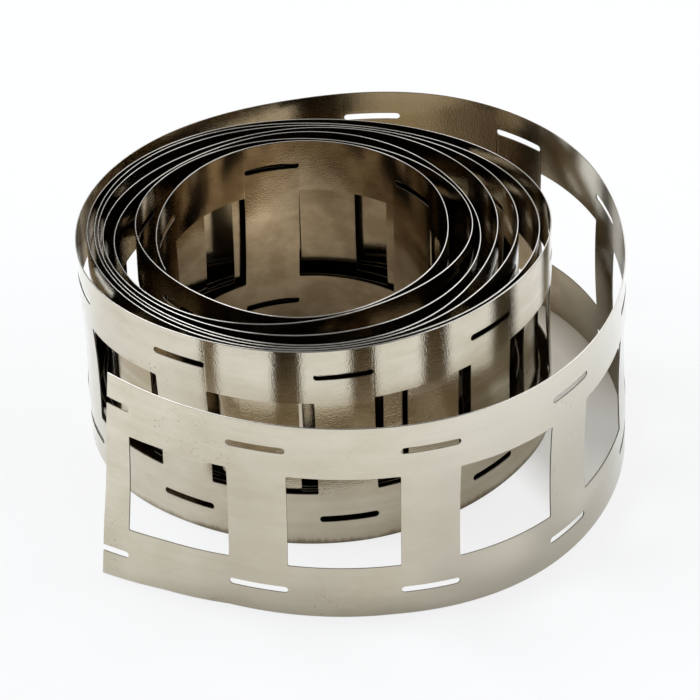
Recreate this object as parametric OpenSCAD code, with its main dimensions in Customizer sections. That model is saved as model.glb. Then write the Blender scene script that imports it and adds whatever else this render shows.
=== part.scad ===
// Nickel strip, one length of punched ladder stock for joining battery cells, loosely coiled on its edge.
// Two rails run the whole length, rungs join them at a fixed pitch, and a thin slot lies in each rail
// beside every rung. The coil's axis is Z, the strip stands on z = 0 and its free end is at the front, -Y.

/* [Strip] */
// Width of the strip from rail edge to rail edge, which is also the height of the coil (mm)
strip_width = 27; // [24:0.5:34]
// Thickness of the sheet (mm)
sheet_thickness = 0.15; // [0.1:0.01:0.2]
// Distance from one rung to the next, the spacing of the cells it joins (mm)
pitch = 20.25; // [18.5:0.05:22]

/* [Ladder] */
// Width of each rail (mm)
rail_width = 7.1; // [5:0.1:9]
// Width of each rung along the strip (mm)
rung_width = 7.1; // [5:0.1:9]
// Radius in the corners of each window (mm)
window_corner = 0.2; // [0.1:0.1:1.5]

/* [Slots] */
// Height of the slot in the middle of each rail (mm)
slot_height = 0.85; // [0.5:0.05:2]
// Length of each slot as a share of the rung's width
slot_share = 1; // [0.7:0.05:1.2]

/* [Coil] */
// Clear gap added between all the turns, on top of each one's own (mm)
extra_gap = 0; // [0:0.1:1]

/* [Free end] */
// Length of rung left at the free end, where the strip was cut off (mm)
end_rung = 3.5; // [1:0.1:6]
// How far the lower corner of the free end leans out (mm)
end_lean = 3; // [0.5:0.5:5]

/* [Hidden] */

// Reach of the innermost turn from the coil's axis, every 30 degrees from the front, clockwise from
// above; the strip starts beyond the second, so the first two only steer its inner end
first_turn = [17.8, 21, 18.2, 17.1, 17.7, 19.7, 20.6, 19.7, 18.5, 17.4, 18.5, 19.2];
// Clear gap from each turn to the next one out, in the same directions
gaps = [
    [ 3.0, -2.3, 0.2, 2.7, 3.0, 1.3, 0.2, 0.4, 1.6, 3.4,  1.6,  0.2],
    [ 0.2,  4.1, 4.3, 2.4, 0.2, 0.2, 1.8, 1.6, 0.2, 0.2,  2.5,  4.2],
    [ 2.9,  0.4, 0.4, 1.4, 1.7, 0.6, 0.5, 1.9, 3.2, 2.3,  0.6,  2.3],
    [ 2.1,  0.8, 0.4, 0.2, 1.7, 2.2, 0.2, 0.2, 1.9, 2.5,  1.8,  0.2],
    [ 0.4,  0.4, 0.3, 0.2, 0.5, 1.0, 0.3, 0.3, 1.2, 2.6,  2.6,  0.4],
    [ 0.2,  0.7, 0.4, 0.9, 0.6, 0.2, 0.8, 1.3, 1.8, 1.5,  0.2,  0.6],
    [ 0.2,  0.4, 2.2, 1.0, 0.9, 2.4, 4.6, 9.7, 8.6, 6.8, 12.7, 18.3],
    [15.5, 11.5, 7.8, 8.1]];
inner_angle = 61;
outer_angle = len(gaps) * 360 + 36;

// Step of the path and how far it carries on past each end of the strip, for the holes cut open there,
// in degrees; clear room the cutting shapes have beyond the sheet's faces; roundness of small holes
path_step = 5;
run_on = 1;
cut_room = 0.08;
hole_facets = 16;

// Length of the tongue that joins the leaning end to the rest, and its share of the sheet's section
tongue_length = 0.3;
tongue_share = 0.4;

compass = len(first_turn);
compass_step = 360 / compass;
window_height = strip_width - 2 * rail_width;
window_length = pitch - rung_width;
slot_length = slot_share * rung_width;
slot_level = (strip_width - rail_width) / 2;
lean_length = end_rung + window_length;

// Steering value of the path at each compass direction: the turn inside it, the gap and the sheet
function steer(i) = i < compass ? first_turn[i]
    : steer(i - compass) + gaps[floor(i / compass) - 1][i % compass] + sheet_thickness + extra_gap;
steers = [for (turn = [0 : len(gaps)], i = [0 : compass - 1])
    if (turn == 0 || i < len(gaps[turn - 1])) steer(turn * compass + i)];

// Reach of the path at any turn angle, a smooth cubic through the steering values
function reach(angle) =
    let (i = floor(angle / compass_step), u = angle / compass_step - i, v = 1 - u)
    (v * v * v * steers[i - 1] + (4 - 6 * u * u + 3 * u * u * u) * steers[i]
    + (4 - 6 * v * v + 3 * v * v * v) * steers[i + 1] + u * u * u * steers[i + 2]) / 6;
function spot(angle) = reach(angle) * [-sin(angle), -cos(angle)];

// The path runs inwards, and its length counts from the free end
path_count = round((outer_angle - inner_angle) / path_step);
path_angles = concat(outer_angle + run_on,
    [for (i = [0 : path_count]) outer_angle + (inner_angle - outer_angle) * i / path_count],
    inner_angle - run_on);
path_spots = [for (angle = path_angles) spot(angle)];
path_lengths = [for (i = 0, length = -norm(path_spots[1] - path_spots[0]); i < len(path_spots);
    i = i + 1, length = length + (i < len(path_spots) ? norm(path_spots[i] - path_spots[i - 1]) : 0))
    length];
path_start = path_lengths[0];
path_end = path_lengths[len(path_lengths) - 1];
strip_length = path_lengths[len(path_lengths) - 2];
angle_of_length = [for (i = [0 : len(path_spots) - 1]) [path_lengths[i], path_angles[i]]];
function angle_at(length) = lookup(length, angle_of_length);

// The middle of the coil's outline lies on Z
outline_low = [for (axis = [0, 1]) min([for (p = path_spots) p[axis]])];
outline_high = [for (axis = [0, 1]) max([for (p = path_spots) p[axis]])];
function place(angle) = spot(angle) - (outline_low + outline_high) / 2;

// Unit direction out of the coil, square to the path, and its heading in degrees
function outward(angle) = let (d = spot(angle - 0.01) - spot(angle + 0.01)) [d[1], -d[0]] / norm(d);
function heading(angle) = let (d = outward(angle)) atan2(d[1], d[0]);

// Both ends of a stretch of the path, no further than the path goes, and the path's own steps between
function stations(from, to) = let (first = max(from, path_start), last = min(to, path_end))
    concat(first, [for (s = path_lengths) if (s > first && s < last) s], last);

// Plan of a ribbon that follows the path between two lengths
module ribbon(from, to, thickness) {
    angles = [for (s = stations(from, to)) angle_at(s)];
    count = len(angles);
    polygon(concat(
        [for (angle = angles) place(angle) + outward(angle) * thickness / 2],
        [for (i = [1 : count]) place(angles[count - i]) - outward(angles[count - i]) * thickness / 2]));
}

// The stretch beside the free end, whose lower edge leans out, most where the strip was cut; past its
// full sections, a narrower tongue inside the rest of the strip joins the two
module leaning_end() {
    sections = concat([for (s = stations(0, lean_length)) [s, 1]],
        [[lean_length + tongue_length, tongue_share]]);
    corners = [for (section = sections)
        let (s = section[0], share = section[1], middle = place(angle_at(s)), side = outward(angle_at(s)),
            lean = end_lean * pow(1 - min(1, s / lean_length), 2))
        for (corner = [[1, -1], [1, 1], [-1, 1], [-1, -1]])
            concat(middle + side * (corner[0] * share * sheet_thickness + (1 - corner[1]) * lean) / 2,
                (1 + corner[1] * share) * strip_width / 2)];
    last = len(corners) - 4;
    walls = [for (i = [0 : 4 : last - 4], side = [0 : 3])
        let (a = i + side, b = i + (side + 1) % 4) each [[a, b, b + 4], [a, b + 4, a + 4]]];
    polyhedron(corners, concat([[3, 2, 1, 0]], walls, [[last, last + 1, last + 2, last + 3]]));
}

// A flat shape stood square in the sheet, at a length along it and a height, and cut through it
module through_sheet(length, height, depth) {
    angle = angle_at(length);
    translate(concat(place(angle), height))
    rotate([90, 0, heading(angle) + 90])
    linear_extrude(depth, center = true)
    children();
}

// A window is a cross of two ribbons with a round corner in each of its four notches
module window(middle_length, depth) {
    half = [window_length, window_height] / 2;
    inset = half - [window_corner, window_corner];
    for (size = [[half[0], inset[1]], [inset[0], half[1]]])
        translate([0, 0, strip_width / 2 - size[1]])
        linear_extrude(2 * size[1])
        ribbon(middle_length - size[0], middle_length + size[0], depth);
    for (end = [-1, 1], side = [-1, 1])
        through_sheet(middle_length + end * inset[0], strip_width / 2 + side * inset[1], depth)
        circle(window_corner, $fn = hole_facets);
}

module slot(middle_length, height, depth) {
    half = (slot_length - slot_height) / 2;
    translate([0, 0, height - slot_height / 2])
    linear_extrude(slot_height)
    ribbon(middle_length - half, middle_length + half, depth);
    for (end = [-1, 1])
        through_sheet(middle_length + end * half, height, depth)
        circle(slot_height / 2, $fn = hole_facets);
}

module nickel_strip() {
    thin_cut = sheet_thickness + 2 * cut_room;
    deep_cut = thin_cut + 2 * end_lean;
    first_window = end_rung + window_length / 2;
    first_slot = end_rung - rung_width / 2;
    color("#c9c3b4")
    difference() {
        union() {
            linear_extrude(strip_width)
            ribbon(lean_length, strip_length, sheet_thickness);
            leaning_end();
        }
        for (s = [first_window : pitch : strip_length + window_length / 2])
            window(s, s > lean_length ? thin_cut : deep_cut);
        for (s = [first_slot : pitch : strip_length + rung_width / 2], side = [-1, 1])
            slot(s, strip_width / 2 + side * slot_level, s > lean_length ? thin_cut : deep_cut);
    }
}

nickel_strip();
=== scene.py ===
"""Looks of the nickel strip: the punched sheet as one mesh, its rolled metal, the floor, light and camera.

Sizes are in millimetres until a mesh is made, in the frame of the part's source: the coil stands on z = 0,
about the z axis, with its front at -y. "Length" is measured along the strip from its free end, "height" up it
from its foot, and "depth" through it, from its middle towards its outer face.
"""

import math
from typing import NamedTuple

import bmesh
import bpy
import numpy as np
from mathutils import Matrix, Vector


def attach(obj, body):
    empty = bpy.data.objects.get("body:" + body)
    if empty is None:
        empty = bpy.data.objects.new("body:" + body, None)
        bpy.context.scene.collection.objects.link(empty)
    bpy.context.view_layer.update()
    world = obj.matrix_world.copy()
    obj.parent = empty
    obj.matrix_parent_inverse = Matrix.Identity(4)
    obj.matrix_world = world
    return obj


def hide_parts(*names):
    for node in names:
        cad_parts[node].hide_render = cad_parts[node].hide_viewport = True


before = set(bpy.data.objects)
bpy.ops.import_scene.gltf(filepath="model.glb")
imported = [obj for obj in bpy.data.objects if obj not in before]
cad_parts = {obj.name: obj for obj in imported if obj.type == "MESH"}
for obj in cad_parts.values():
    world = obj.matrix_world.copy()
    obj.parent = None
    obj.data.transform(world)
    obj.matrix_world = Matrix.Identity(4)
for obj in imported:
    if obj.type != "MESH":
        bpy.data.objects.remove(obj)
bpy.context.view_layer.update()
MM = 0.001

# The strip's sizes, as the part's source has them.
STRIP_WIDTH = 27.0
SHEET_THICKNESS = 0.15
PITCH = 20.25
RAIL_WIDTH = 7.1
RUNG_WIDTH = 7.1
WINDOW_CORNER = 0.2
SLOT_HEIGHT = 0.85
END_RUNG = 3.5
SLOT_LEVEL = RAIL_WIDTH / 2
WINDOW_LENGTH = PITCH - RUNG_WIDTH

# The coil's path, also as the source has it: the innermost turn's reach from the axis every 30 degrees,
# clockwise from the front, then the clear gap from each turn to the next one out. A turn angle counts on from
# turn to turn, outwards.
FIRST_TURN = [17.8, 21, 18.2, 17.1, 17.7, 19.7, 20.6, 19.7, 18.5, 17.4, 18.5, 19.2]
GAPS = [
    [3.0, -2.3, 0.2, 2.7, 3.0, 1.3, 0.2, 0.4, 1.6, 3.4, 1.6, 0.2],
    [0.2, 4.1, 4.3, 2.4, 0.2, 0.2, 1.8, 1.6, 0.2, 0.2, 2.5, 4.2],
    [2.9, 0.4, 0.4, 1.4, 1.7, 0.6, 0.5, 1.9, 3.2, 2.3, 0.6, 2.3],
    [2.1, 0.8, 0.4, 0.2, 1.7, 2.2, 0.2, 0.2, 1.9, 2.5, 1.8, 0.2],
    [0.4, 0.4, 0.3, 0.2, 0.5, 1.0, 0.3, 0.3, 1.2, 2.6, 2.6, 0.4],
    [0.2, 0.7, 0.4, 0.9, 0.6, 0.2, 0.8, 1.3, 1.8, 1.5, 0.2, 0.6],
    [0.2, 0.4, 2.2, 1.0, 0.9, 2.4, 4.6, 9.7, 8.6, 6.8, 12.7, 18.3],
    [15.5, 11.5, 7.8, 8.1]]
COMPASS_STEP = 30.0
FULL_TURN = 360.0
INNER_ANGLE = 61.0
OUTER_ANGLE = 36.0 + FULL_TURN * len(GAPS)

# Degrees between the path's points, and to either side of a place where its slope is taken.
PATH_STEP = 0.25
SLOPE_STEP = 0.02

# How the sheet leans, by length: how far its foot stands out from its head, and how far along the coil. The
# loose turn leans most at its free end, and the last two places are on the innermost turn.
LEAN_AT = [0, 8, 16.5, 36, 57, 77, 100, 120, 145, 180, 205, 225, 245, 270, 1130, 1180, 1250]
LEAN_OUT = [2.7, 0.7, -0.7, -1.2, -0.5, 0, 0.4, 0.5, 0.1, -0.4, -0.6, 0.1, 0.4, 0, 0, 0, 0]
LEAN_ALONG = [-0.1, -0.6, -0.8, -0.2, 0, 0, 0.1, 0.1, 0, 0.3, 0.7, 0.6, 0.2, 0, 0, 0.75, 0.75]

# How far the sheet has crept along the inner turns, by turn angle, so that its windows are where the photo
# shows them.
CREEP_AT = [200, 517, 909, 1281, 1594, 1779]
CREEP_BY = [-0.1, -0.4, 1.0, 1.3, 0.5, 0]


# ---------------------------------------------------------------- the coil's path

def steering_values():
    """The path's reach from the axis every 30 degrees, from the inner end out."""
    turn = np.array(FIRST_TURN, float)
    values = list(turn)
    for row in GAPS:
        turn = turn[:len(row)] + row + SHEET_THICKNESS
        values += list(turn)
    return np.array(values)


STEERS = steering_values()


def spot(angle):
    """Plan points of the path at turn angles, about the coil's axis: a smooth cubic by the steering values."""
    i = np.floor(angle / COMPASS_STEP).astype(int)
    u = angle / COMPASS_STEP - i
    v = 1 - u
    reach = (v**3 * STEERS[i - 1] + (4 - 6 * u**2 + 3 * u**3) * STEERS[i]
             + (4 - 6 * v**2 + 3 * v**3) * STEERS[i + 1] + u**3 * STEERS[i + 2]) / 6
    turn = np.radians(angle)
    return np.stack([-reach * np.sin(turn), -reach * np.cos(turn)], axis=-1)


class Path:
    """The strip's middle line in plan, by length from the free end, centred on the coil's outline."""

    def __init__(self):
        count = round((OUTER_ANGLE - INNER_ANGLE) / PATH_STEP)
        self.angles = np.linspace(OUTER_ANGLE, INNER_ANGLE, count + 1)
        points = spot(self.angles)
        self.middle = (points.min(0) + points.max(0)) / 2
        self.lengths = np.concatenate([[0], np.cumsum(np.linalg.norm(np.diff(points, axis=0), axis=1))])
        self.length = self.lengths[-1]

    def lengths_at(self, angles):
        return np.interp(-angles, -self.angles, self.lengths)

    def at(self, lengths):
        """Plan points, with the directions along the strip and outward from the coil there."""
        angles = np.interp(lengths, self.lengths, self.angles)
        crept = lengths - np.interp(angles, CREEP_AT, CREEP_BY)
        angles = np.interp(crept, self.lengths, self.angles)
        ahead, behind = spot(angles - SLOPE_STEP), spot(angles + SLOPE_STEP)
        along = (ahead - behind) / np.linalg.norm(ahead - behind, axis=-1, keepdims=True)
        outward = np.stack([along[:, 1], -along[:, 0]], axis=-1)
        return spot(angles) - self.middle, along, outward


path = Path()


# ---------------------------------------------------------------- the punched sheet

# How finely the mesh is cut: steps in a slot's or window's round, steps in a rim's, rows up a rung, and
# millimetres between stations. Lines closer than SAME_LEVEL are one line.
ARC_STEPS = 4
RIM_STEPS = 3
RUNG_ROWS = 6
STATION_STEP = 1.0
SAME_LEVEL = 1e-6
SHARP_ANGLE = math.radians(35)

# The rungs bow inwards between the rails. The rims are rounded, less so on the inner face, the burr side, and
# RIM_FLAT is a narrow flat row that ends their shading.
RUNG_BOW = 0.18
ROLL_OVER = 0.09
BURR_SIDE = 0.03
RIM_FLAT = 0.02

# The strip's two finishes, by material slot.
ROLLED, SHEARED = 0, 1


class Station(NamedTuple):
    """A cut across the strip: half its slots' height, its window's lower edge, and if a rung follows it."""
    length: float
    slot: float
    window: float
    on_rung: bool


def arc_rises(radius):
    """(distance in, height) pairs of a quarter round, from its tip to where it is level."""
    turns = np.linspace(0, math.pi / 2, ARC_STEPS + 1)
    return [(radius * (1 - math.cos(t)), radius * math.sin(t)) for t in turns]


def opening_profile(start, end, corner):
    """(length, height) pairs of an opening's edge from its start to its end, rounded at both."""
    rises = arc_rises(corner)
    first, last = start + corner, end - corner
    count = max(2, round((last - first) / STATION_STEP))
    level = [(length, corner) for length in np.linspace(first, last, count + 1)[1:-1]]
    return [(start + d, h) for d, h in rises] + level + [(end - d, h) for d, h in reversed(rises)]


def ladder_stations():
    """Stations along the whole strip, rung by rung, cut off at its two ends."""
    stations = []
    rung_end = END_RUNG
    while rung_end - RUNG_WIDTH < path.length:
        rung = opening_profile(rung_end - RUNG_WIDTH, rung_end, SLOT_HEIGHT / 2)
        stations += [Station(s, h, RAIL_WIDTH + WINDOW_CORNER, True) for s, h in rung[:-1]]
        window = opening_profile(rung_end, rung_end + WINDOW_LENGTH, WINDOW_CORNER)
        stations += [Station(s, 0.0, RAIL_WIDTH + WINDOW_CORNER - h, False) for s, h in window[:-1]]
        rung_end += PITCH
    kept = [station for station in stations if 0 < station.length < path.length]
    first = [station for station in stations if station.length <= 0][-1]._replace(length=0.0)
    return [first, *kept, kept[-1]._replace(length=path.length)]


def rim_profile():
    """A rounded rim, line by line from its tip: how far from the tip, and how far in from the two faces."""
    turns = np.linspace(0, math.pi / 2, RIM_STEPS + 1)[::-1]
    levels = np.concatenate([ROLL_OVER * (1 - np.sin(turns)), [ROLL_OVER + RIM_FLAT]])
    outer = np.concatenate([ROLL_OVER * (1 - np.cos(turns)), [0]])
    return levels, outer, outer * BURR_SIDE / ROLL_OVER


def levels_at(station, rim_levels):
    """Heights of the mesh's lines at one station, from the foot: rim, slot, window, rung, and back again."""
    half = [*rim_levels, SLOT_LEVEL - station.slot, SLOT_LEVEL + station.slot, station.window]
    rung = np.linspace(station.window, STRIP_WIDTH - station.window, RUNG_ROWS + 1)[1:-1]
    return [*half, *rung, *(STRIP_WIDTH - level for level in reversed(half))]


def stand(lengths, heights):
    """Plan points of the sheet's middle, leaning and bowed as it stands, and the outward direction there."""
    middle, along, outward = path.at(lengths)
    low = 1 - heights / STRIP_WIDTH
    shift = np.interp(lengths, LEAN_AT, LEAN_ALONG) * low
    across_rung = (heights - STRIP_WIDTH / 2) / (STRIP_WIDTH / 2 - RAIL_WIDTH)
    bow = RUNG_BOW * np.maximum(0, 1 - across_rung**2)
    out = np.interp(lengths, LEAN_AT, LEAN_OUT) * low - bow
    return middle + outward * out[:, None] + along * shift[:, None], outward


def solid_cells(stations, width, rim):
    """Which cells between two stations and two lines are metal. Row number rim is the slot's, open along a
    rung, and the rows between the window's edges are open where there is no rung."""
    on_rung = np.array([station.on_rung for station in stations[:-1]])
    solid = np.ones((len(stations) - 1, width - 1), bool)
    solid[:, rim] = solid[:, width - rim - 2] = ~on_rung
    solid[:, rim + 2:width - rim - 3] = on_rung[:, None]
    return solid


def sheet_faces(corners, solid):
    """Faces of the outer and inner sides and of each open edge between them, with each face's finish."""
    faces, finishes = [], []
    back = corners.size
    last_row = solid.shape[1] - 1
    # With an open border all round, so that cell (i, j) is at (i + 1, j + 1).
    is_open = ~np.pad(solid, 1)

    def add(finish, *ring):
        """Adds a face, without the corners that two of its lines share."""
        ring = [corner for k, corner in enumerate(ring) if corner != ring[k - 1]]
        if len(ring) > 2:
            faces.append(ring)
            finishes.append(finish)

    for i, j in zip(*np.nonzero(solid)):
        # a and b lie below, at this station and the next, and d and c above them.
        a, b, c, d = corners[i, j], corners[i + 1, j], corners[i + 1, j + 1], corners[i, j + 1]
        add(ROLLED, a, b, c, d)
        add(ROLLED, a + back, d + back, c + back, b + back)
        if is_open[i + 1, j]:
            add(ROLLED if j == 0 else SHEARED, a + back, b + back, b, a)
        if is_open[i + 1, j + 2]:
            add(ROLLED if j == last_row else SHEARED, d, c, c + back, d + back)
        if is_open[i, j + 1]:
            add(SHEARED, a, d, d + back, a + back)
        if is_open[i + 2, j + 1]:
            add(SHEARED, b + back, c + back, c, b)
    return faces, finishes


def mesh_object(name, points, faces):
    """A new object in the scene, from points in millimetres."""
    mesh = bpy.data.meshes.new(name)
    mesh.from_pydata((np.array(points) * MM).tolist(), [], faces)
    made = bpy.data.objects.new(name, mesh)
    bpy.context.scene.collection.objects.link(made)
    return made


def drop_loose_points(mesh):
    """Takes out the grid's points that no face uses, in the slots and windows."""
    edited = bmesh.new()
    edited.from_mesh(mesh)
    bmesh.ops.delete(edited, geom=[v for v in edited.verts if not v.link_faces], context="VERTS")
    edited.to_mesh(mesh)
    edited.free()


def build_strip():
    """The strip as one closed mesh. Its attribute "sheet" keeps each point's length, height and depth."""
    stations = ladder_stations()
    rim_levels, outer_in, inner_in = rim_profile()
    rim = len(rim_levels)
    levels = np.array([levels_at(station, rim_levels) for station in stations])
    count, width = levels.shape
    lengths = np.repeat([station.length for station in stations], width)
    heights = levels.ravel()
    flat, outward = stand(lengths, heights)
    points, sheet = [], []
    for side, rounding in ((1, outer_in), (-1, inner_in)):
        rounded = np.concatenate([rounding, np.zeros(width - 2 * rim), rounding[::-1]])
        depth = np.tile(side * (SHEET_THICKNESS / 2 - rounded), count)
        points.append(np.column_stack([flat + outward * depth[:, None], heights]))
        sheet.append(np.column_stack([lengths, heights, depth]))

    # Where a slot has no height, its two edges share their points.
    corners = np.arange(levels.size).reshape(levels.shape)
    for low in (rim, width - rim - 2):
        shut = levels[:, low + 1] - levels[:, low] < SAME_LEVEL
        corners[shut, low + 1] = corners[shut, low]
    faces, finishes = sheet_faces(corners, solid_cells(stations, width, rim))

    piece = mesh_object("nickel_ladder_strip", np.concatenate(points), faces)
    mesh = piece.data
    mesh.polygons.foreach_set("material_index", finishes)
    attribute = mesh.attributes.new("sheet", "FLOAT_VECTOR", "POINT")
    attribute.data.foreach_set("vector", np.concatenate(sheet).ravel().astype(np.float32))
    mesh.validate()
    drop_loose_points(mesh)
    mesh.shade_smooth()
    mesh.set_sharp_from_angle(angle=SHARP_ANGLE)
    return piece


strip = build_strip()
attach(strip, "root")
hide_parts("nickel_strip")


# ---------------------------------------------------------------- materials

class Tree:
    """A new material's node tree. Each value given to a node is a socket of another one, or a constant."""

    def __init__(self, name):
        self.material = bpy.data.materials.new(name)
        self.material.use_nodes = True
        self.tree = self.material.node_tree
        self.tree.nodes.clear()

    def set_input(self, socket, value):
        if isinstance(value, bpy.types.NodeSocket):
            self.tree.links.new(value, socket)
        else:
            socket.default_value = value

    def node(self, kind, inputs=None, **settings):
        made = self.tree.nodes.new(kind)
        for key, value in settings.items():
            setattr(made, key, value)
        for key, value in (inputs or {}).items():
            self.set_input(made.inputs[key], value)
        return made

    def attribute(self, name):
        return self.node("ShaderNodeAttribute", attribute_name=name).outputs

    def maths(self, operation, *values):
        return self.node("ShaderNodeMath", dict(enumerate(values)), operation=operation).outputs[0]

    def product(self, first, *factors):
        made = first
        for factor in factors:
            made = self.maths("MULTIPLY", made, factor)
        return made

    def with_more(self, first, second, weight):
        return self.maths("MULTIPLY_ADD", second, weight, first)

    def ramp(self, value, stops, shares=(0.0, 1.0)):
        """The first share where value is at the first stop, the second at the second, and level past both."""
        ranges = {"From Min": stops[0], "From Max": stops[1], "To Min": shares[0], "To Max": shares[1]}
        return self.node("ShaderNodeMapRange", {"Value": value, **ranges}).outputs["Result"]

    def between(self, value, begins, ends):
        """1 on one stretch and 0 on either side of it, with a ramp through each pair of stops."""
        return self.product(self.ramp(value, begins), self.ramp(value, ends))

    def mix(self, factor, first, second):
        """The first colour where factor is 0, and the second where it is 1."""
        made = self.node("ShaderNodeMix", {"Factor": factor}, data_type="RGBA")
        for socket, value in zip([s for s in made.inputs if s.type == "RGBA"], (first, second)):
            self.set_input(socket, value)
        return [s for s in made.outputs if s.type == "RGBA"][0]

    def surface(self, shader):
        self.node("ShaderNodeOutputMaterial", {"Surface": shader.outputs[0]})
        return self.material


# Noises over the sheet: repeats per millimetre along it, up it and through it, then detail and roughness.
NOISES = {
    "streaks": ((0.05, 1.1, 1.0), 3.0, 0.5),
    "smudges": ((0.09, 0.15, 1.0), 5.0, 0.65),
    "clouds": ((0.30, 0.36, 1.0), 4.0, 0.6),
    "bands": ((0.012, 0.42, 1.0), 3.0, 0.5),
    "foot_shade_edge": ((0.6, 0.0, 1.0), 3.0, 0.7),
    "pits": ((3.0, 3.0, 1.0), 0.0, 0.5),
    "pitted_patches": ((0.10, 0.12, 1.0), 1.0, 0.5),
    "grain": ((5.6, 5.6, 3.0), 1.0, 0.5),
    "rolling_lines": ((0.4, 11.0, 3.0), 1.0, 0.5),
    "tear": ((3.0, 3.0, 20.0), 3.0, 0.6)}

# Off the noise's own lattice, on whose planes a Perlin noise is flat.
NOISE_START = (0.37, 0.41, 0.43)


class Metal(Tree):
    """A metal, with its noises and tones laid out over the sheet."""

    def __init__(self, name):
        super().__init__(name)
        self.sheet = self.attribute("sheet")["Vector"]

    def places(self):
        """The length along the strip, the height up it and the depth through it."""
        return self.node("ShaderNodeSeparateXYZ", {0: self.sheet}).outputs

    def noise(self, name):
        stretch, detail, roughness = NOISES[name]
        placing = {"Vector": self.sheet, "Location": NOISE_START, "Scale": stretch}
        mapped = self.node("ShaderNodeMapping", placing).outputs["Vector"]
        settings = {"Vector": mapped, "Scale": 1.0, "Detail": detail, "Roughness": roughness}
        return self.node("ShaderNodeTexNoise", settings).outputs["Fac"]

    def bump(self, height, distance):
        settings = {"Strength": 1.0, "Distance": distance * MM, "Height": height}
        return self.node("ShaderNodeBump", settings).outputs[0]

    def finish(self, inputs):
        return self.surface(self.node("ShaderNodeBsdfPrincipled", {"Metallic": 1.0, **inputs}))


OUTER_COLOUR = (0.605, 0.55, 0.445, 1)
OUTER_SMUDGE = (0.51, 0.455, 0.35, 1)
INNER_COLOUR = (0.57, 0.495, 0.385, 1)
# Painted light on the inner face at the loose turn's right side, then painted shade at its back.
INNER_PAINTED_LIGHT = (0.63, 0.61, 0.545, 1)
INNER_PAINTED_SHADE = (0.42, 0.34, 0.235, 1)
INNER_SMUDGE = (0.38, 0.31, 0.22, 1)
COOL_COLOUR = (0.62, 0.588, 0.505, 1)
# Painted shade: low on the loose turn's front, in bands on the coil, along its foot and at the inner turns'
# heads. The last colour also marks real pits.
FRONT_PAINTED_SHADE = (0.40, 0.35, 0.265, 1)
COIL_PAINTED_SHADE = (0.38, 0.31, 0.20, 1)
PAINTED_SHADE_AND_PIT_COLOUR = (0.22, 0.18, 0.12, 1)
RIM_COLOUR = (0.44, 0.43, 0.405, 1)
UNTINTED = (1, 1, 1, 1)
EDGE_ON_COLOUR = (0.40, 0.37, 0.33, 1)
SHEARED_COLOUR = (0.09, 0.08, 0.065, 1)
SHEARED_BRIGHT = (0.20, 0.18, 0.15, 1)

# Depths through the sheet, either side of its middle and out past the rounding of its rims.
OUTER_DEPTHS = (-0.01, 0.01)
FACE_DEPTHS = (0.062, 0.074)

# Where each tone lies, as stops from none of it to all of it: lengths along the strip, then heights up it.
INNER_LIGHT_BEGINS, INNER_LIGHT_ENDS = (66, 76), (118, 106)
INNER_SHADE_BEGINS, INNER_SHADE_ENDS = (117, 124), (160, 146)
COOL_BEGINS, COOL_ENDS = (34, 52), (215, 195)
FRONT_SHADE_BEGINS, FRONT_SHADE_ENDS = (6, 18), (85, 66)
COIL_SHADE_BEGINS = (222, 238)
FOOT_SHADE_BEGINS = (205, 225)
INNER_TURN_SHADE_BEGINS = (430, 470)
FRONT_SHADE_HEIGHTS = (26, 14)
COIL_SHADE_HEAD, COIL_SHADE_FOOT = (22, 20), (8, 14)
INNER_TURN_SHADE_HEIGHTS = (19, 22)

# How much of each tone there is, all over or between its stops.
COOL_SHARE = 0.8
FRONT_SHADE_SHARES = (0.15, 0.5)
COIL_SHADE_SHARES = (0.4, 1.0)
BAND_SHARES = (0.5, 1.0)
PIT_SHARES = (0.0, 0.6)
INNER_TURN_SHADE_SHARE = 0.65

# Values of the noises between which a tone sets in, and how much of a second noise is added to the first.
# Painted shade along the foot begins where the height is less than the rise times its noise, and is full 0.6
# mm below that.
STREAKY, STREAK_WEIGHT = (0.52, 0.80), 0.3
CLOUDY, CLOUD_WEIGHT = (0.72, 1.05), 0.8
BANDED = (0.42, 0.58)
PITTED, PITTED_PATCH = (0.73, 0.82), (0.60, 0.66)
TORN = (0.35, 0.65)
SMUDGE_RANGE, TEAR_RANGE = (0.3, 0.7), (0.3, 0.7)
FOOT_SHADE_STOPS, FOOT_SHADE_RISE = (0.0, -0.6), 1.6

# Grain and rolling lines, at less relief on the inner face, and how rough each metal is.
LINE_WEIGHT = 0.4
RELIEF_RANGE = (0, 1.4)
INNER_RELIEF = 0.55
GRAIN_HEIGHT, TEAR_HEIGHT = 0.017, 0.01
ROLLED_ROUGHNESS = (0.10, 0.13)
SHEARED_ROUGHNESS = (0.55, 0.4)


def inner_tone(metal, length, smudges):
    """The inner face: smudged and warm, with painted light at the loose turn's right side and painted shade at
    its back.
    """
    cloudy = metal.ramp(metal.with_more(smudges, metal.noise("clouds"), CLOUD_WEIGHT), CLOUDY)
    tone = metal.mix(cloudy, INNER_COLOUR, INNER_SMUDGE)
    tone = metal.mix(metal.between(length, INNER_LIGHT_BEGINS, INNER_LIGHT_ENDS), tone, INNER_PAINTED_LIGHT)
    return metal.mix(metal.between(length, INNER_SHADE_BEGINS, INNER_SHADE_ENDS), tone, INNER_PAINTED_SHADE)


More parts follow.
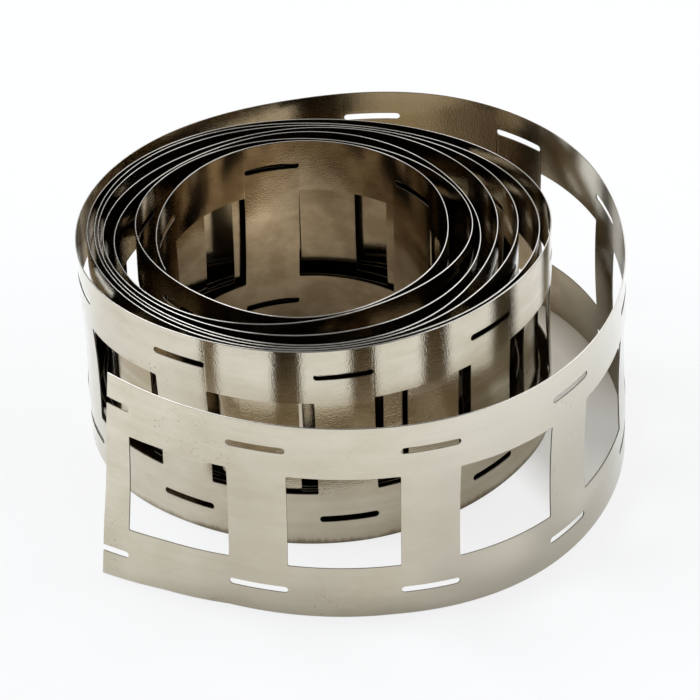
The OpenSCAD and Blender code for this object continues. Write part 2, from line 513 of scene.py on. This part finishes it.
def outer_tone(metal, length, height, smudges):
    """The outer face: cool on the loose turn, with painted shade on its front, more of it low down; on the
    coil behind it, banded painted shade, painted shade along its foot, and the darkest painted shade at the
    heads of the inner turns. Tiny pits lie on it in patches."""
    streaky = metal.ramp(metal.with_more(smudges, metal.noise("streaks"), STREAK_WEIGHT), STREAKY)
    tone = metal.mix(streaky, OUTER_COLOUR, OUTER_SMUDGE)
    cool = metal.product(metal.between(length, COOL_BEGINS, COOL_ENDS), COOL_SHARE)
    tone = metal.mix(cool, tone, COOL_COLOUR)
    # Painted shade on the loose turn's front, more of it lower down.
    front_shaded = metal.product(metal.between(length, FRONT_SHADE_BEGINS, FRONT_SHADE_ENDS),
                         metal.ramp(height, FRONT_SHADE_HEIGHTS, FRONT_SHADE_SHARES))
    tone = metal.mix(front_shaded, tone, FRONT_PAINTED_SHADE)
    # Banded painted shade on the coil, between its foot and its head.
    coil_shaded = metal.product(metal.ramp(length, COIL_SHADE_BEGINS), metal.ramp(height, COIL_SHADE_HEAD),
                              metal.ramp(height, COIL_SHADE_FOOT, COIL_SHADE_SHARES),
                              metal.ramp(metal.noise("bands"), BANDED, BAND_SHARES))
    tone = metal.mix(coil_shaded, tone, COIL_PAINTED_SHADE)
    # Painted shade along the coil's foot, with a ragged edge.
    foot_shade_line = metal.with_more(height, metal.noise("foot_shade_edge"), -FOOT_SHADE_RISE)
    foot_shaded = metal.product(metal.ramp(length, FOOT_SHADE_BEGINS), metal.ramp(foot_shade_line, FOOT_SHADE_STOPS))
    tone = metal.mix(foot_shaded, tone, PAINTED_SHADE_AND_PIT_COLOUR)
    # Painted shade at the heads of the inner turns.
    inner_turn_shaded = metal.product(metal.ramp(length, INNER_TURN_SHADE_BEGINS), metal.ramp(height, INNER_TURN_SHADE_HEIGHTS), INNER_TURN_SHADE_SHARE)
    tone = metal.mix(inner_turn_shaded, tone, PAINTED_SHADE_AND_PIT_COLOUR)
    pitted = metal.product(metal.ramp(metal.noise("pits"), PITTED, PIT_SHARES),
                           metal.ramp(metal.noise("pitted_patches"), PITTED_PATCH))
    return metal.mix(pitted, tone, PAINTED_SHADE_AND_PIT_COLOUR)


def rolled_nickel():
    """Rolled sheet: fine grain and rolling lines over the tones of its two faces, and plain rims."""
    metal = Metal("rolled_nickel")
    length, height, depth = metal.places()
    outer_face = metal.ramp(depth, OUTER_DEPTHS)
    on_face = metal.ramp(metal.maths("ABSOLUTE", depth), FACE_DEPTHS)
    smudges = metal.noise("smudges")
    inner, outer = inner_tone(metal, length, smudges), outer_tone(metal, length, height, smudges)
    relief = metal.with_more(metal.noise("grain"), metal.noise("rolling_lines"), LINE_WEIGHT)
    relief_share = metal.ramp(outer_face, (0, 1), (INNER_RELIEF, 1))
    return metal.finish({
        "Base Color": metal.mix(on_face, RIM_COLOUR, metal.mix(outer_face, inner, outer)),
        "Roughness": metal.ramp(smudges, SMUDGE_RANGE, ROLLED_ROUGHNESS),
        "Specular Tint": metal.mix(outer_face, EDGE_ON_COLOUR, UNTINTED),
        "Normal": metal.bump(metal.ramp(relief, RELIEF_RANGE, (0, relief_share)), GRAIN_HEIGHT)})


def sheared_nickel():
    """Punched and cut edges: dark, and torn rough through the sheet's thickness."""
    metal = Metal("sheared_nickel")
    tear = metal.noise("tear")
    return metal.finish({
        "Base Color": metal.mix(metal.ramp(tear, TORN), SHEARED_COLOUR, SHEARED_BRIGHT),
        "Roughness": metal.ramp(tear, TEAR_RANGE, SHEARED_ROUGHNESS),
        "Specular Tint": SHEARED_BRIGHT,
        "Normal": metal.bump(tear, TEAR_HEIGHT)})


strip.data.materials.append(rolled_nickel())
strip.data.materials.append(sheared_nickel())


# ---------------------------------------------------------------- floor

FLOOR_COLOUR = (0.86, 0.895, 0.94, 1)
# Painted shade and light in the staged floors' colours: shade in the loose turn, darker at the strip's foot
# there, darkest between the turns, and in the bore a warm painted light that the nickel throws there.
SHADE_COLOUR = (0.92, 0.895, 0.84, 1)
FLOOR_FOOT_SHADE_COLOUR = (0.46, 0.42, 0.36, 1)
DEEP_SHADE_COLOUR = (0.20, 0.165, 0.12, 1)
BORE_SHADE_COLOUR = (0.90, 0.83, 0.70, 1)

# How much of the table's look is plain white and not its lit colour, to the camera and in the metal.
WHITE = (0.93, 0.93, 0.93, 1)
WHITENESS = 0.82
GLOSSY_WHITENESS = 0.1

# The table reaches this far from the axis. The staged floors lie on it in thin layers, with a point in their
# outlines every two degrees.
TABLE_REACH = 2000
LAYER = 0.005
OUTLINE_STEP = 2.0

# The floor in the loose turn is painted in shade, and opens to the table's white by place, in metres: past a
# line that slants across it, where it is also in front, and partly so wherever it is in front.
OPEN_SLANT = (2.2, 1.0, 0.0)
OPEN_ACROSS = (0.051, 0.032)
OPEN_FRONT = (0.002, -0.005)
OPEN_SIDE = (0.014, 0.002)
SIDE_OPENNESS = 0.3

# Painted shade at the strip's foot darkens the outermost rings at the back. Each ring is a share of the
# outline.
RING_SHARES = [0.3, 0.7, 0.84, 0.9, 0.96, 1.0]
FOOT_SHARES = (0.88, 1.0)
FOOT_BACK = (0.0, 0.014)


def table_material(name, shade, enclosed=False):
    """Matt table that the camera sees whiter than it is lit. In the loose turn it goes from painted shade to
    white.
    """
    made = Tree(name)
    ray = made.node("ShaderNodeLightPath").outputs
    whiteness = made.maths("MULTIPLY", ray["Is Camera Ray"], WHITENESS)
    whiteness = made.maths("MULTIPLY_ADD", ray["Is Glossy Ray"], GLOSSY_WHITENESS, whiteness)
    colour = shade
    if enclosed:
        place = made.node("ShaderNodeNewGeometry").outputs["Position"]
        y = made.node("ShaderNodeSeparateXYZ", {0: place}).outputs["Y"]
        slanted = made.node("ShaderNodeVectorMath", {0: place, 1: OPEN_SLANT}, operation="DOT_PRODUCT")
        front = made.product(made.ramp(slanted.outputs["Value"], OPEN_ACROSS), made.ramp(y, OPEN_FRONT))
        openness = made.maths("MAXIMUM", front, made.ramp(y, OPEN_SIDE, (0, SIDE_OPENNESS)))
        whiteness = made.product(whiteness, openness)
        ring = made.ramp(made.attribute("share")["Fac"], FOOT_SHARES)
        foot_shade = made.product(ring, made.ramp(y, FOOT_BACK))
        colour = made.mix(openness, made.mix(foot_shade, shade, FLOOR_FOOT_SHADE_COLOUR), FLOOR_COLOUR)
    matt = made.node("ShaderNodeBsdfDiffuse", {"Color": colour})
    glow = made.node("ShaderNodeEmission", {"Color": WHITE, "Strength": 1.0})
    shaders = {0: whiteness, 1: matt.outputs[0], 2: glow.outputs[0]}
    return made.surface(made.node("ShaderNodeMixShader", shaders))


def matt_material(name, colour):
    made = Tree(name)
    return made.surface(made.node("ShaderNodeBsdfDiffuse", {"Color": colour}))


def foot_outline(outer_angle):
    """Plan points of the strip's foot, once round inwards from a turn angle."""
    lengths = path.lengths_at(np.arange(outer_angle, outer_angle - FULL_TURN, -OUTLINE_STEP))
    return stand(lengths, np.zeros(len(lengths)))[0]


def add_floor(name, outline, layer, material, shares=(1.0,)):
    """A staged floor inside an outline, in rings. Each ring's share of the outline is kept in an attribute."""
    centre = np.mean(outline, axis=0)
    count = len(outline)
    rings = [centre + (outline - centre) * share for share in shares]
    points = np.column_stack([np.concatenate(rings), np.full(count * len(shares), layer * LAYER)])
    faces = [range(count)]
    for ring in range(len(shares) - 1):
        for i in range(count):
            a, b = ring * count + i, ring * count + (i + 1) % count
            faces.append((a, b, b + count, a + count))
    floor = mesh_object(name, points, faces)
    floor.data.attributes.new("share", "FLOAT", "POINT").data.foreach_set("value", np.repeat(shares, count))
    floor.data.materials.append(material)


table_corners = np.array([(-1, -1), (1, -1), (1, 1), (-1, 1)]) * TABLE_REACH
add_floor("floor", table_corners, 0, table_material("white_table", FLOOR_COLOUR))
add_floor("floor_in_the_loose_turn", foot_outline(OUTER_ANGLE), 1,
          table_material("shaded_table", SHADE_COLOUR, enclosed=True), RING_SHARES)
add_floor("floor_between_the_turns", foot_outline(OUTER_ANGLE - FULL_TURN), 2,
          matt_material("deep_shade", DEEP_SHADE_COLOUR))
add_floor("floor_in_the_bore", foot_outline(INNER_ANGLE + FULL_TURN), 3,
          matt_material("bore_shade", BORE_SHADE_COLOUR))


# ---------------------------------------------------------------- light and camera

SKY_COLOUR = (1, 1, 1, 1)
SKY_STRENGTH = 0.33

# Softboxes aimed at the coil's foot: place, width and height in metres, and power in watts.
SOFTBOXES = {
    "left_softbox": ((-0.55, 0.28, 0.92), (0.8, 0.8), 9.0),
    "back_right_softbox": ((0.50, 0.80, 0.50), (1.6, 0.7), 6.5),
    "front_left_softbox": ((-0.78, -0.17, 0.66), (0.6, 0.6), 2.0),
    "right_softbox": ((0.95, -0.1, 0.65), (1.2, 1.0), 8.5)}

CAMERA_TARGET = Vector((-0.28, -1.16, 13.5)) * MM
CAMERA_DISTANCE = 504.5 * MM
CAMERA_ELEVATION = math.radians(33.27)
CAMERA_ROLL = math.radians(-1.744)
CAMERA_LENS = 214.7
VIEW_DEPTH = 10


def add_sky():
    world = bpy.data.worlds.new("studio")
    bpy.context.scene.world = world
    world.use_nodes = True
    background = world.node_tree.nodes["Background"].inputs
    background["Color"].default_value = SKY_COLOUR
    background["Strength"].default_value = SKY_STRENGTH


def add_softbox(name, place, size, power):
    light = bpy.data.lights.new(name, "AREA")
    light.shape = "RECTANGLE"
    light.size, light.size_y = size
    light.energy = power
    made = bpy.data.objects.new(name, light)
    made.location = place
    made.rotation_euler = (-Vector(place)).to_track_quat("-Z", "Y").to_euler()
    bpy.context.scene.collection.objects.link(made)


def add_camera():
    """A long lens that looks down on the coil from the front, rolled a little as the photo is."""
    e, r = CAMERA_ELEVATION, CAMERA_ROLL
    forward = Vector((0, math.cos(e), -math.sin(e)))
    up, right = Vector((0, math.sin(e), math.cos(e))), Vector((1, 0, 0))
    right, up = right * math.cos(r) + up * math.sin(r), up * math.cos(r) - right * math.sin(r)
    data = bpy.data.cameras.new("camera")
    data.lens = CAMERA_LENS
    data.clip_end = VIEW_DEPTH
    made = bpy.data.objects.new("camera", data)
    turn = Matrix((right, up, -forward)).transposed()
    made.matrix_world = Matrix.Translation(CAMERA_TARGET - forward * CAMERA_DISTANCE) @ turn.to_4x4()
    bpy.context.scene.collection.objects.link(made)
    bpy.context.scene.camera = made


add_sky()
for softbox_name, softbox in SOFTBOXES.items():
    add_softbox(softbox_name, *softbox)
add_camera()
bpy.context.scene.view_settings.view_transform = "Standard"
